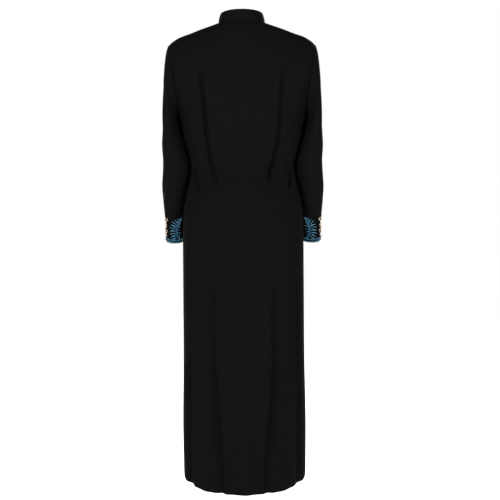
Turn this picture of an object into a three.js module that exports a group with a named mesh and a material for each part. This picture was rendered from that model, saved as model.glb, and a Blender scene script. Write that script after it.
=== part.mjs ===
// A full-length black abaya in its worn, hollow form: a back, two lapped fronts, a stand collar, two set-in
// sleeves and two embroidered cuff bands. Each cut piece is one closed wall of cloth, and neighbouring pieces
// meet edge to edge along their seams with a hairline gap.
//
// Millimetres, +Z up. The front faces -Y, the wearer's left is +X. The origin is the middle of the neck
// opening, level with the side neck points, where the wearer's shoulders carry the garment.
//
// Angles go round the body from the wearer's left side seam (0) over the back (90) to the right side seam
// (180) and on over the front (270). Heights go by ring: ring 0 is the hem and the last ring is the neckline.
import * as THREE from "three";

const CLOTH = 1.6; // wall of the body and sleeves
const BAND_CLOTH = 2.2; // wall of the collar and cuffs, which are cut double
const SEAM_GAP = 0.3; // left between two pieces at a seam
const FRONT_LAP = 30; // how far the right front lies over the left
const LAP_CLEARANCE = 0.5; // between the two fronts where they lap
const LAP_EASE = 28; // width over which the left front dips under the right
const COLLAR_OPENING = 3; // between the two collar ends
const MOST_MITRE = 2; // longest mitre at a seam, in wall thicknesses

// Rings of the body, from hem to neckline. side*, back* and front* are the points at the side seam, centre
// back and centre front; square is the superellipse exponent, and ridge says how roundly the ring falls from
// its side height to its middle height (1 falls evenly). steps is the number of rows up to the next ring.
// fold* gives the long drape folds: the angle from the side seam and the depth of the inner and outer fold on
// the back (b) and on the front (f), and foldWidth is their half-width in degrees.
const RINGS = [
  { name: "hem", sideX: 182.5, sideZ: -1350, backY: 146, backZ: -1389, frontY: -134, frontZ: -1374, square: 2.2, ridge: 1.05,
    bInner: 70, bInnerDeep: 9, bOuter: 33, bOuterDeep: 6, fInner: 62, fInnerDeep: 9, fOuter: 28, fOuterDeep: 6,
    foldWidth: 7.5, steps: 3 },
  { name: "shin", sideX: 184.5, sideZ: -1190, backY: 141, backZ: -1205, frontY: -131, frontZ: -1198, square: 2.2, ridge: 1.3,
    bInner: 65, bInnerDeep: 7, bOuter: 32, bOuterDeep: 4.5, fInner: 60, fInnerDeep: 7.5, fOuter: 29, fOuterDeep: 5,
    foldWidth: 7, steps: 3 },
  { name: "knee", sideX: 181.5, sideZ: -985, backY: 134, backZ: -988, frontY: -128, frontZ: -986, square: 2.2, ridge: 1.5,
    bInner: 62, bInnerDeep: 4, bOuter: 31, bOuterDeep: 3.5, fInner: 58, fInnerDeep: 5, fOuter: 30, fOuterDeep: 3.5,
    foldWidth: 6.5, steps: 3 },
  { name: "thigh", sideX: 181.5, sideZ: -780, backY: 128, backZ: -780, frontY: -125, frontZ: -780, square: 2.2, ridge: 1.7,
    bInner: 61.5, bInnerDeep: 2, bOuter: 31, bOuterDeep: 2, fInner: 56, fInnerDeep: 3, fOuter: 31, fOuterDeep: 2,
    foldWidth: 6.5, steps: 3 },
  { name: "seat", sideX: 180.5, sideZ: -600, backY: 125, backZ: -600, frontY: -121, frontZ: -600, square: 2.2, ridge: 1.7,
    bInner: 62, bInnerDeep: 0.5, bOuter: 31, bOuterDeep: 1, fInner: 55, fInnerDeep: 2, fOuter: 31, fOuterDeep: 1.5,
    foldWidth: 6, steps: 2 },
  { name: "hip", sideX: 171, sideZ: -524, backY: 113, backZ: -524, frontY: -115, frontZ: -524, square: 2.2, ridge: 1.7,
    bInner: 61, bInnerDeep: 1, bOuter: 29, bOuterDeep: 2.5, fInner: 54, fInnerDeep: 2, fOuter: 29, fOuterDeep: 2.5,
    foldWidth: 5.6, steps: 3 },
  { name: "waist", sideX: 154, sideZ: -436, backY: 86, backZ: -436, frontY: -106, frontZ: -436, square: 2.2, ridge: 1.7,
    bInner: 57.5, bInnerDeep: 6.5, bOuter: 27, bOuterDeep: 5, fInner: 52, fInnerDeep: 4.5, fOuter: 27, fOuterDeep: 4,
    foldWidth: 5.4, steps: 3 },
  { name: "rib", sideX: 172, sideZ: -362, backY: 97, backZ: -364, frontY: -117, frontZ: -362, square: 2.2, ridge: 1.7,
    bInner: 56.5, bInnerDeep: 7.5, bOuter: 31, bOuterDeep: 1.5, fInner: 54, fInnerDeep: 4, fOuter: 31, fOuterDeep: 2,
    foldWidth: 5.2, steps: 3 },
  { name: "armpit", sideX: 191, sideZ: -276, backY: 111, backZ: -284, frontY: -130, frontZ: -280, square: 2.25, ridge: 1.7,
    bInner: 58.5, bInnerDeep: 6, bOuter: 35, bOuterDeep: 0, fInner: 58, fInnerDeep: 2, fOuter: 37, fOuterDeep: 1,
    foldWidth: 5.2, steps: 5 },
  { name: "chest", sideX: 225, sideZ: -166, backY: 117, backZ: -199, frontY: -125, frontZ: -226, square: 2.2, ridge: 1.7,
    bInner: 62, bInnerDeep: 3.5, bOuter: 43, bOuterDeep: 0, fInner: 62, fInnerDeep: 0, fOuter: 45, fOuterDeep: 0,
    foldWidth: 5.2, steps: 5 },
  { name: "shoulder", sideX: 221, sideZ: -69, backY: 103, backZ: -128, frontY: -106, frontZ: -168, square: 2.05, ridge: 1.6,
    bInner: 63, bInnerDeep: 0, bOuter: 43, bOuterDeep: 0, fInner: 62, fInnerDeep: 0, fOuter: 44, fOuterDeep: 0,
    foldWidth: 5.2, steps: 2 },
  { name: "yoke", sideX: 161, sideZ: -35, backY: 90, backZ: -75, frontY: -91, frontZ: -130, square: 2.05, ridge: 1.6,
    bInner: 62, bInnerDeep: 0, bOuter: 42, bOuterDeep: 0, fInner: 60, fInnerDeep: 0, fOuter: 42, fOuterDeep: 0,
    foldWidth: 5.2, steps: 2 },
  { name: "nape", sideX: 104, sideZ: -14, backY: 77, backZ: -34, frontY: -80, frontZ: -98, square: 2.05, ridge: 1.5,
    bInner: 60, bInnerDeep: 0, bOuter: 40, bOuterDeep: 0, fInner: 58, fInnerDeep: 0, fOuter: 40, fOuterDeep: 0,
    foldWidth: 5.2, steps: 2 },
  { name: "neckline", sideX: 70, sideZ: -3, backY: 64, backZ: -8, frontY: -72, frontZ: -76, square: 2.1, ridge: 1.3,
    bInner: 58, bInnerDeep: 0, bOuter: 38, bOuterDeep: 0, fInner: 56, fInnerDeep: 0, fOuter: 38, fOuterDeep: 0,
    foldWidth: 5.2, steps: 0 },
];
const ARMPIT = RINGS.findIndex((ring) => ring.name === "armpit");
const SHOULDER = RINGS.findIndex((ring) => ring.name === "shoulder");
const NECKLINE = RINGS.length - 1;

// The wearer's right differs a little from the left: its folds stand a little elsewhere and are shallower.
const RIGHT_FOLD_SHIFT = 1.5; // degrees
const RIGHT_FOLD_SHARE = 0.88;

// How far the armhole is cut back from the side seam line, in degrees of the ring.
const ARMHOLE_BACK = 26;
const ARMHOLE_FRONT = 31;

// The top edge of the collar, measured as a ring is.
const COLLAR_TOP = {
  sideX: 63.6, sideZ: 25, backY: 61, backZ: 28, frontY: -70.5, frontZ: -47, square: 2.05, ridge: 1.3,
};
const COLLAR_BULGE = 1.2;
const COLLAR_ROWS = 2;

// Sections of the left sleeve below the armhole: the middle of the section, its half-widths across and
// fore-and-aft, how far it leans forward and how far its front edge is turned towards the body, in degrees.
// steps is the number of rows up to the next section.
const ARM = [
  { name: "bicep", x: 212.9, y: -6, z: -302, halfX: 22.9, halfY: 74, lean: 0, turned: 8, steps: 2 },
  { name: "upper", x: 206, y: -14, z: -365, halfX: 33.6, halfY: 68, lean: 2, turned: 9, steps: 2 },
  { name: "elbow", x: 197.8, y: -24, z: -426, halfX: 42.6, halfY: 59, lean: 10, turned: 8, steps: 2 },
  { name: "forearm", x: 202.5, y: -40, z: -482, halfX: 42.1, halfY: 54, lean: 19, turned: 6, steps: 2 },
  { name: "wrist", x: 205.6, y: -58, z: -534, halfX: 38, halfY: 49, lean: 19, turned: 4, steps: 2 },
  { name: "cuff_seam", x: 208, y: -72, z: -572, halfX: 33.2, halfY: 46, lean: 19, turned: 3, steps: 3 },
  { name: "cuff_end", x: 208.8, y: -98.5, z: -649, halfX: 32, halfY: 44, lean: 19, turned: 3, steps: 0 },
];
const ARM_SQUARE = 2.15;
const CUFF_SEAM = ARM.findIndex((section) => section.name === "cuff_seam");
const CUFF_END = ARM.length - 1;

// The sleeve head runs from the armhole (-1) to the bicep (0). It leaves the armhole along these directions
// at the shoulder and at the armpit, and the shares say how strongly it keeps to them.
const HEAD_ROWS = [-1, -0.93, -0.83, -0.7, -0.54, -0.37, -0.19];
const HEAD_TOP_LEAVES = new THREE.Vector3(0.47, 0, -0.88);
const HEAD_PIT_LEAVES = new THREE.Vector3(0.88, 0, -0.47);
const HEAD_START_SHARE = 0.5;
const HEAD_END_SHARE = 0.9;
const ARMHOLE_STEPS = 10; // rows of the body that the armhole spans

const RADIANS = Math.PI / 180;
const UP = new THREE.Vector3(0, 0, 1);
const NUDGE = 0.02; // step for slopes, in degrees and in hundredths of a ring

const mix = (a, b, share) => a + (b - a) * share;
const smooth = (share) => {
  const s = THREE.MathUtils.clamp(share, 0, 1);
  return s * s * (3 - 2 * s);
};

// A column of a table at any height between its rows, on a Catmull-Rom curve through them.
function column(rows, key, at) {
  const last = rows.length - 1;
  const i = THREE.MathUtils.clamp(Math.floor(at), 0, last - 1);
  const t = at - i;
  const value = (k) => {
    if (k < 0) return 2 * rows[0][key] - rows[1][key];
    if (k > last) return 2 * rows[last][key] - rows[last - 1][key];
    return rows[k][key];
  };
  const [a, b, c, d] = [value(i - 1), value(i), value(i + 1), value(i + 2)];
  const slopeB = (c - a) / 2;
  const slopeC = (d - b) / 2;
  return (
    b * (1 + 2 * t) * (1 - t) * (1 - t) + slopeB * t * (1 - t) * (1 - t) +
    c * t * t * (3 - 2 * t) + slopeC * t * t * (t - 1)
  );
}

const power = (value, exponent) => Math.sign(value) * Math.abs(value) ** exponent;

// A point of a ring at an angle. The back half and the front half each rise from the side to their middle.
function ringPoint(ring, angle) {
  const across = power(Math.cos(angle * RADIANS), 2 / ring.square);
  const along = power(Math.sin(angle * RADIANS), 2 / ring.square);
  const [y, z] = along >= 0 ? [ring.backY, ring.backZ] : [ring.frontY, ring.frontZ];
  return new THREE.Vector3(
    ring.sideX * across,
    y * Math.abs(along),
    mix(ring.sideZ, z, Math.abs(along) ** ring.ridge),
  );
}

const RING_KEYS = ["sideX", "sideZ", "backY", "backZ", "frontY", "frontZ", "square", "ridge"];
function ringAt(height) {
  return Object.fromEntries(RING_KEYS.map((key) => [key, column(RINGS, key, height)]));
}

// The fold lines at a height, as angles round the body with their depths.
function foldsAt(height) {
  const half = column(RINGS, "foldWidth", height);
  return ["bInner", "bOuter", "fInner", "fOuter"].flatMap((key) => {
    const from = column(RINGS, key, height);
    const deep = Math.max(0, column(RINGS, key + "Deep", height));
    const onBack = key.startsWith("b");
    const right = from + RIGHT_FOLD_SHIFT;
    return [
      { onBack, left: true, angle: onBack ? from : 360 - from, deep, half },
      { onBack, left: false, angle: onBack ? 180 - right : 180 + right, deep: deep * RIGHT_FOLD_SHARE, half },
    ];
  });
}

const normalOf = (point, a, b) => {
  const alongA = point(a + NUDGE, b).sub(point(a - NUDGE, b));
  const alongB = point(a, b + NUDGE / 100).sub(point(a, b - NUDGE / 100));
  return alongA.cross(alongB).normalize();
};

const plainBody = (angle, height) => ringPoint(ringAt(height), angle);

// The body's outer surface: the plain rings, pressed in along the fold lines.
function body(angle, height) {
  const point = plainBody(angle, height);
  let press = 0;
  for (const fold of foldsAt(height)) {
    const away = THREE.MathUtils.euclideanModulo(angle - fold.angle + 180, 360) - 180;
    press += fold.deep * Math.exp(-((away / fold.half) ** 2));
  }
  return point.addScaledVector(normalOf(plainBody, angle, height), -press);
}

// The armhole, round from the shoulder (0) down its back edge to the armpit (180) and up its front edge.
// Returns the angle and the height of the body's surface there, on the left.
function armhole(turn) {
  const back = turn <= 180;
  const open = Math.abs(Math.sin(turn * RADIANS));
  const middle = (ARMPIT + SHOULDER) / 2;
  const reach = (SHOULDER - ARMPIT) / 2;
  return {
    angle: back ? ARMHOLE_BACK * open : -ARMHOLE_FRONT * open,
    height: middle + reach * Math.cos(turn * RADIANS),
  };
}

// A point of the left sleeve's outer surface. turn is 0 on its outer side, 90 behind, 180 on its inner side.
// down is -1 at the armhole, 0 at the bicep section, and then a row of ARM.
const ARM_KEYS = ["x", "y", "z", "halfX", "halfY", "lean", "turned"];
function armSection(turn, down) {
  const arm = Object.fromEntries(ARM_KEYS.map((key) => [key, column(ARM, key, down)]));
  const across = power(Math.cos(turn * RADIANS), 2 / ARM_SQUARE) * arm.halfX;
  const along = power(Math.sin(turn * RADIANS), 2 / ARM_SQUARE) * arm.halfY;
  const offset = new THREE.Vector3(
    across,
    along * Math.cos(arm.lean * RADIANS),
    -along * Math.sin(arm.lean * RADIANS),
  );
  offset.applyAxisAngle(UP, -arm.turned * RADIANS);
  return offset.add(new THREE.Vector3(arm.x, arm.y, arm.z));
}

function sleeve(turn, down) {
  if (down >= 0) return armSection(turn, down);
  const round = THREE.MathUtils.euclideanModulo(turn, 360);
  const edge = armhole(round);
  const start = body(edge.angle, edge.height);
  const end = armSection(round, 0);
  const t = down + 1;
  const reach = start.distanceTo(end);
  const atTop = (1 + Math.cos(round * RADIANS)) / 2;
  const leaves = HEAD_PIT_LEAVES.clone().lerp(HEAD_TOP_LEAVES, atTop).normalize();
  const arrives = armSection(round, NUDGE).sub(end).normalize();
  return start
    .multiplyScalar((1 + 2 * t) * (1 - t) * (1 - t))
    .addScaledVector(leaves, reach * HEAD_START_SHARE * t * (1 - t) * (1 - t))
    .addScaledVector(end, t * t * (3 - 2 * t))
    .addScaledVector(arrives, reach * HEAD_END_SHARE * t * t * (t - 1));
}

// The collar band over the neckline. up is 0 at the seam and 1 at the top edge.
function collar(angle, up) {
  const foot = body(angle, NECKLINE);
  const top = ringPoint(COLLAR_TOP, angle);
  const point = foot.clone().lerp(top, up);
  const outward = new THREE.Vector3(point.x, point.y, 0).normalize();
  return point.addScaledVector(outward, COLLAR_BULGE * 4 * up * (1 - up));
}

// Slopes that stay on the near side of a surface's own limits.
const within = (value, low, high) => THREE.MathUtils.clamp(value, low, high);
const bodyNormal = (angle, height) =>
  normalOf(body, angle, within(height, NUDGE / 100, NECKLINE - NUDGE / 100));
const sleeveNormal = (turn, down) =>
  normalOf(sleeve, turn, within(down, -1 + NUDGE / 100, CUFF_END - NUDGE / 100)).negate();
const collarNormal = (angle, up) => normalOf(collar, angle, within(up, NUDGE / 100, 1 - NUDGE / 100));

// A corner of a wall: its outer point, its surface normal, and the way its wall goes in. At a seam with
// another surface the wall goes in halfway between the two, so that the pieces meet in a mitre.
function corner(point, normal, neighbour) {
  const inward = normal.clone();
  if (neighbour) inward.add(neighbour);
  inward.normalize();
  const lean = Math.max(1 / MOST_MITRE, inward.dot(normal));
  return { point, normal, inward: inward.multiplyScalar(-1 / lean), sunk: 0 };
}

// A closed wall from a grid of corners, rows of columns, whose rows run round to their start if it is a tube.
// Every open edge is drawn back by half a seam gap.
function wall(grid, thickness, tube) {
  const wide = grid[0].length;
  const across = tube ? wide : wide - 1;
  const corners = grid.flat();
  const quads = [];
  for (let r = 0; r + 1 < grid.length; r++)
    for (let c = 0; c < across; c++) {
      const next = (c + 1) % wide;
      quads.push([r * wide + c, r * wide + next, (r + 1) * wide + next, (r + 1) * wide + c]);
    }
  const key = (a, b) => a + ">" + b;
  const sides = new Map();
  for (const quad of quads)
    quad.forEach((a, i) => sides.set(key(a, quad[(i + 1) % 4]), [a, quad[(i + 1) % 4]]));
  const open = [...sides.values()].filter(([a, b]) => !sides.has(key(b, a)));

  const drawn = corners.map(() => []);
  for (const [a, b] of open) {
    const edge = corners[b].point.clone().sub(corners[a].point);
    for (const at of [a, b])
      drawn[at].push(corners[at].normal.clone().cross(edge).normalize());
  }
  const outer = corners.map(({ point, inward, sunk }, at) => {
    const moved = point.clone().addScaledVector(inward, sunk);
    if (drawn[at].length !== 2) return moved;
    const [one, two] = drawn[at];
    const share = SEAM_GAP / 2 / (1 + Math.max(-0.5, one.dot(two)));
    return moved.addScaledVector(one, share).addScaledVector(two, share);
  });
  const inner = outer.map((point, at) => point.clone().addScaledVector(corners[at].inward, thickness));

  const n = corners.length;
  const triangles = quads.flatMap(([a, b, c, d]) => [
    a, b, c, a, c, d,
    n + a, n + c, n + b, n + a, n + d, n + c,
  ]);
  for (const [a, b] of open) triangles.push(b, a, n + a, b, n + a, n + b);
  const geometry = new THREE.BufferGeometry();
  geometry.setFromPoints([...outer, ...inner]);
  geometry.setIndex(triangles);
  geometry.computeVertexNormals();
  return geometry;
}

// The rows of the body: evenly spaced from ring to ring, and round the armhole by equal turns.
function bodyRows() {
  const rows = [];
  RINGS.forEach((ring, i) => {
    for (let s = 0; s < Math.max(1, ring.steps); s++) {
      const turn = 180 - ((i - ARMPIT) * ring.steps + s) * (180 / ARMHOLE_STEPS);
      const besideArmhole = i >= ARMPIT && i < SHOULDER;
      rows.push({
        height: besideArmhole ? armhole(turn).height : i + s / Math.max(1, ring.steps),
        turn: besideArmhole ? turn : null,
      });
    }
  });
  return rows;
}

// The angle from the centre front at which the ring is this far off centre.
const offCentre = (height, distance) => {
  const ring = ringAt(height);
  return Math.asin((distance / ring.sideX) ** (ring.square / 2)) / RADIANS;
};

// Columns of a panel. A fold keeps columns at these angles from its line, so that it stays smooth, and gaps
// says how many columns share each stretch before, between and after the folds.
const FOLD_COLUMNS = [-8, -4, 0, 4, 8];
const PANELS = {
  back: { gaps: [3, 2, 6, 2, 3], onBack: true, sides: [true, false] },
  front_left: { gaps: [2, 2, 3], onBack: false, sides: [true] },
  front_right: { gaps: [3, 2, 2], onBack: false, sides: [false] },
};

// The angles of a panel's columns in one row, in rising order.
function columns(name, { height, turn }) {
  const { gaps, onBack, sides } = PANELS[name];
  const open = turn === null ? 0 : Math.sin(turn * RADIANS);
  const lap = offCentre(height, FRONT_LAP / 2);
  const gap = offCentre(height, COLLAR_OPENING / 2);
  const centre = [270 - lap, 270 - gap, 270 + gap, 270 + lap];
  const limits = {
    back: [[ARMHOLE_BACK * open], [180 - ARMHOLE_BACK * open]],
    front_left: [centre, [360 - ARMHOLE_FRONT * open]],
    front_right: [[180 + ARMHOLE_FRONT * open], centre],
  };
  const [start, end] = limits[name];
  const lines = foldsAt(height)
    .filter((fold) => fold.onBack === onBack && sides.includes(fold.left))
    .map((fold) => fold.angle)
    .sort((a, b) => a - b);
  const groups = [start, ...lines.map((line) => FOLD_COLUMNS.map((offset) => line + offset)), end];
  return groups.flatMap((group, i) => {
    if (i === 0) return group;
    const from = groups[i - 1].at(-1);
    const between = Array.from({ length: gaps[i - 1] - 1 }, (_, k) =>
      mix(from, group[0], (k + 1) / gaps[i - 1]),
    );
    return [...between, ...group];
  });
}

// The surface that a body corner is sewn to: the collar at the neckline, the sleeve round the armhole.
function seamNeighbour(angle, { height, turn }, atEdge) {
  if (height === NECKLINE) return collarNormal(angle, 0);
  const besideArmhole = turn !== null || height === SHOULDER;
  if (!besideArmhole || !atEdge) return null;
  const onRight = angle > 90 && angle < 270;
  const onBack = angle < 180 && angle > 0;
  const opening = turn === null ? 0 : turn;
  const seen = sleeveNormal(onBack ? opening : 360 - opening, -1);
  if (onRight) seen.x *= -1;
  return seen;
}

function panel(name) {
  return bodyRows().map((row) => {
    const angles = columns(name, row);
    return angles.map((angle, c) => {
      const atEdge =
        (c === 0 && name !== "front_left") ||
        (c === angles.length - 1 && name !== "front_right");
      const made = corner(
        body(angle, row.height),
        bodyNormal(angle, row.height),
        seamNeighbour(angle, row, atEdge),
      );
      if (name === "front_left") {
        const covered = FRONT_LAP / 2 + LAP_EASE - made.point.x;
        made.sunk = (CLOTH + LAP_CLEARANCE) * smooth(covered / LAP_EASE);
      }
      return made;
    });
  });
}

const mirrored = (made) => {
  for (const part of [made.point, made.normal, made.inward]) part.x *= -1;
  return made;
};

// Rings of a sleeve or cuff. The grid of the right one is the mirror image, with its turns run backwards.
function armTube(onRight, downs) {
  const turns = Array.from({ length: 2 * ARMHOLE_STEPS }, (_, i) => (i * 180) / ARMHOLE_STEPS);
  if (!onRight) turns.reverse();
  return downs.map((down) =>
    turns.map((turn) => {
      let neighbour = null;
      if (down === -1) {
        const edge = armhole(turn);
        neighbour = bodyNormal(edge.angle, edge.height);
      }
      const made = corner(sleeve(turn, down), sleeveNormal(turn, down), neighbour);
      return onRight ? mirrored(made) : made;
    }),
  );
}

function armRows(from, to) {
  const rows = [];
  for (let i = from; i < to; i++)
    for (let s = 0; s < ARM[i].steps; s++) rows.push(i + s / ARM[i].steps);
  return [...rows, to];
}

// The collar runs from its left end round the back to its right end, over the columns of the panels. Past
// the centre front it follows the right front, which lies outermost there.
function collarBand() {
  const row = { height: NECKLINE, turn: null };
  const gap = offCentre(NECKLINE, COLLAR_OPENING / 2);
  const lap = offCentre(NECKLINE, FRONT_LAP / 2);
  const left = columns("front_left", row).filter((angle) => angle > 270 + lap - NUDGE);
  const right = columns("front_right", row).filter((angle) => angle < 270);
  const back = columns("back", row).slice(1, -1);
  const angles = [gap - 90, ...left.map((angle) => angle - 360), ...back, ...right];
  return Array.from({ length: COLLAR_ROWS + 1 }, (_, i) => {
    const up = i / COLLAR_ROWS;
    return angles.map((angle) =>
      corner(collar(angle, up), collarNormal(angle, up), up === 0 ? bodyNormal(angle, NECKLINE) : null),
    );
  });
}

// Materials: matte black crepe for the body, and the same crepe under the embroidered cuff bands.
const crepe = new THREE.MeshStandardMaterial({ color: 0x171717, roughness: 0.85, metalness: 0 });
const bandCrepe = new THREE.MeshStandardMaterial({ color: 0x121316, roughness: 0.75, metalness: 0 });

const abaya = new THREE.Group();
abaya.name = "abaya";
function add(name, grid, thickness, tube, material) {
  const piece = new THREE.Mesh(wall(grid, thickness, tube), material);
  piece.name = name;
  abaya.add(piece);
}

for (const name of Object.keys(PANELS)) add(name, panel(name), CLOTH, false, crepe);
add("collar", collarBand(), BAND_CLOTH, false, crepe);
for (const onRight of [false, true]) {
  const side = onRight ? "right" : "left";
  const sleeveRows = [...HEAD_ROWS, ...armRows(0, CUFF_SEAM)];
  add("sleeve_" + side, armTube(onRight, sleeveRows), CLOTH, true, crepe);
  add("cuff_" + side, armTube(onRight, armRows(CUFF_SEAM, CUFF_END)), BAND_CLOTH, true, bandCrepe);
}

export default abaya;
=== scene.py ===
"""A full-length black abaya in worn form: crepe cloth with its folds, a stand collar and embroidered cuffs."""

import math

import bmesh
import bpy
import numpy as np
from bpy.props import FloatProperty, FloatVectorProperty, PointerProperty
from mathutils import Matrix, Vector
from mathutils.bvhtree import BVHTree


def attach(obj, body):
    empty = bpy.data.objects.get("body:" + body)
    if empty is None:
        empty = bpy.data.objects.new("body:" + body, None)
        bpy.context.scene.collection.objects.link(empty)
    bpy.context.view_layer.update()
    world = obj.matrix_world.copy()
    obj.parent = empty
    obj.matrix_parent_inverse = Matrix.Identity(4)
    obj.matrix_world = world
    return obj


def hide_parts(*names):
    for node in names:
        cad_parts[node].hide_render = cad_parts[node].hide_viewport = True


bl_info = {
    "name": "Worn Abaya",
    "version": (1, 0, 0),
    "blender": (4, 5, 0),
    "location": "3D View > Sidebar > Abaya",
    "description": "Dresses the abaya's panels with crepe, folds, stitching and embroidered cuffs",
    "category": "Object",
}

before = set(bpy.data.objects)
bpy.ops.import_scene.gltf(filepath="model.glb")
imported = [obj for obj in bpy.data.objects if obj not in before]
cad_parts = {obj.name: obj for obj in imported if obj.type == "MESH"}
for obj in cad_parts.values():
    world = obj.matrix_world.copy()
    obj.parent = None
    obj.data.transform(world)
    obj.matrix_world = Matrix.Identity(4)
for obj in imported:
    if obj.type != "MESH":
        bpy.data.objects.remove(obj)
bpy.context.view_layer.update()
BODY = "root"

MM = 0.001
WELD = 0.02 * MM

# Where a sleeve hangs against the body, in mm.
REST_TOP, REST_BOTTOM = -272, -400  # heights between which it does
REST_START, REST_END = 18, 40  # over which that sets in at the top and dies out at the bottom
REST_REACH = 9  # how far off the body is looked for
REST_FULL, REST_NONE = 5, 8  # gaps up to which the cloth moves all the way, and past which it stays
REST_KEPT = 0.4  # gap that is left

HEM_LINE = -1400  # a crease that reaches this height, in mm, runs off the hem without fading
OPEN_EDGE_TURN = 0.0004  # how far a free edge rolls in past its dip
UNDER_SHARE = 0.7  # share of the allowance that goes inwards under the next piece
FITS = 3  # times that a smoothed panel is drawn back onto its own points

# A point that each node's cloth goes round, by height in mm: (z, x, y) from the top down.
TORSO_CORE = [(-110, 0, 0), (-1500, 0, 0)]
COLLAR_CORE = [(100, 0, -4), (-200, 0, -4)]
ARM_CORE = [(-190, 205, -2), (-302, 212, -6), (-426, 198, -24), (-572, 208, -72)]
CUFF_CORE = [(-540, 208, -61), (-572, 208, -72), (-649, 208.8, -98.5), (-690, 209, -112)]

# Creases of the cloth, in mm. Each line lists its points, (x, z) seen from behind or from in front, or (y, z)
# seen from the wearer's left or right, with the half-width and depth of its trough. A negative depth is a
# ridge. A line fades out at its ends over the share of its length that fade gives.
BACK_CREASES = [
    dict(points=[(122, -128), (118, -200), (110, -274), (105, -346), (98, -393), (91, -428), (83, -465),
                 (71, -508)], width=5.5, depth=5.2, fade=0.14, lean=-0.4),
    dict(points=[(-123, -130), (-117, -215), (-112, -292), (-106, -352), (-99, -393), (-88, -428), (-79, -463),
                 (-74, -512)], width=5.5, depth=5.2, fade=0.15, lean=0.4),
    dict(points=[(77, -372), (73, -416), (71, -489), (64, -530)], width=7, depth=1.8, fade=0.4),
    dict(points=[(-84, -240), (-79, -308), (-76, -380), (-71, -440)], width=8, depth=1.5, fade=0.4),
    dict(points=[(155, -420), (145, -446), (134, -480), (129, -514)], width=5.5, depth=5.6, fade=0.24),
    dict(points=[(-156, -418), (-147, -442), (-140, -480), (-136, -510)], width=5.5, depth=5.2, fade=0.25),
    dict(points=[(140, -330), (128, -380), (118, -420), (112, -446)], width=8, depth=1.6, fade=0.45),
    dict(points=[(-142, -322), (-131, -376), (-120, -424)], width=8, depth=1.4, fade=0.45),
    dict(points=[(118, -452), (108, -478), (103, -520)], width=7, depth=1.8, fade=0.4),
    dict(points=[(-116, -448), (-109, -470), (-105, -504)], width=7, depth=1.6, fade=0.4),
    dict(points=[(52, -402), (50, -440), (53, -492)], width=9, depth=1.0, fade=0.45),
    dict(points=[(-48, -388), (-45, -448), (-50, -500)], width=9, depth=1.2, fade=0.45),
    dict(points=[(92, -735), (92, -860), (91, -1020), (84, -1093), (79, -1180), (73, -1240), (67, -1318),
                 (66, -1400)], width=8, depth=4.6, fade=0.2),
    dict(points=[(-94, -715), (-92, -880), (-92, -1021), (-86, -1110), (-78, -1200), (-67, -1270),
                 (-66, -1400)], width=8, depth=4.8, fade=0.22),
    dict(points=[(158, -940), (159, -1090), (160, -1240), (158, -1400)], width=10, depth=3.8, fade=0.25),
    dict(points=[(-157, -655), (-158, -860), (-160, -1100), (-158, -1400)], width=10, depth=3.6, fade=0.3),
    dict(points=[(118, -1010), (112, -1130), (108, -1250), (109, -1400)], width=14, depth=-2.4, fade=0.35),
    dict(points=[(-122, -980), (-115, -1120), (-106, -1260), (-108, -1400)], width=14, depth=-2.2, fade=0.35),
    dict(points=[(4, -1130), (0, -1220), (-3, -1300), (-2, -1400)], width=13, depth=-3.0, fade=0.4),
    dict(points=[(34, -1180), (36, -1290), (37, -1400)], width=11, depth=1.8, fade=0.4),
    dict(points=[(-30, -1160), (-34, -1280), (-35, -1400)], width=11, depth=1.6, fade=0.4),
    dict(points=[(86, -548), (88, -600), (84, -660)], width=42, depth=-3.0, fade=0.5),
    dict(points=[(-88, -552), (-90, -610), (-86, -670)], width=42, depth=-3.0, fade=0.5),
]
FRONT_CREASES = [
    dict(points=[(118, -250), (106, -320), (99, -390), (90, -440), (84, -500)], width=9, depth=2.6, fade=0.35),
    dict(points=[(-116, -262), (-108, -330), (-98, -396), (-93, -446), (-88, -512)], width=9, depth=2.4, fade=0.35),
    dict(points=[(150, -322), (128, -262), (112, -232)], width=10, depth=2.2, fade=0.45),
    dict(points=[(-152, -330), (-134, -272), (-116, -244)], width=10, depth=2.0, fade=0.45),
    dict(points=[(150, -436), (139, -456), (130, -490)], width=7, depth=3.2, fade=0.3),
    dict(points=[(-151, -440), (-141, -460), (-134, -498)], width=7, depth=3.4, fade=0.3),
    dict(points=[(60, -396), (57, -446), (60, -502)], width=8, depth=1.4, fade=0.45),
    dict(points=[(-57, -402), (-55, -452), (-60, -496)], width=8, depth=1.3, fade=0.45),
    dict(points=[(98, -760), (97, -960), (92, -1130), (84, -1290), (82, -1400)], width=12, depth=3.2, fade=0.2),
    dict(points=[(-97, -720), (-96, -930), (-93, -1140), (-86, -1300), (-85, -1400)], width=12, depth=3.0, fade=0.2),
    dict(points=[(160, -900), (161, -1150), (160, -1400)], width=10, depth=2.6, fade=0.3),
    dict(points=[(-159, -860), (-161, -1120), (-160, -1400)], width=10, depth=2.6, fade=0.3),
    dict(points=[(48, -1090), (50, -1240), (52, -1400)], width=13, depth=2.0, fade=0.4),
    dict(points=[(-52, -1120), (-50, -1250), (-47, -1400)], width=13, depth=2.2, fade=0.4),
]
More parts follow.
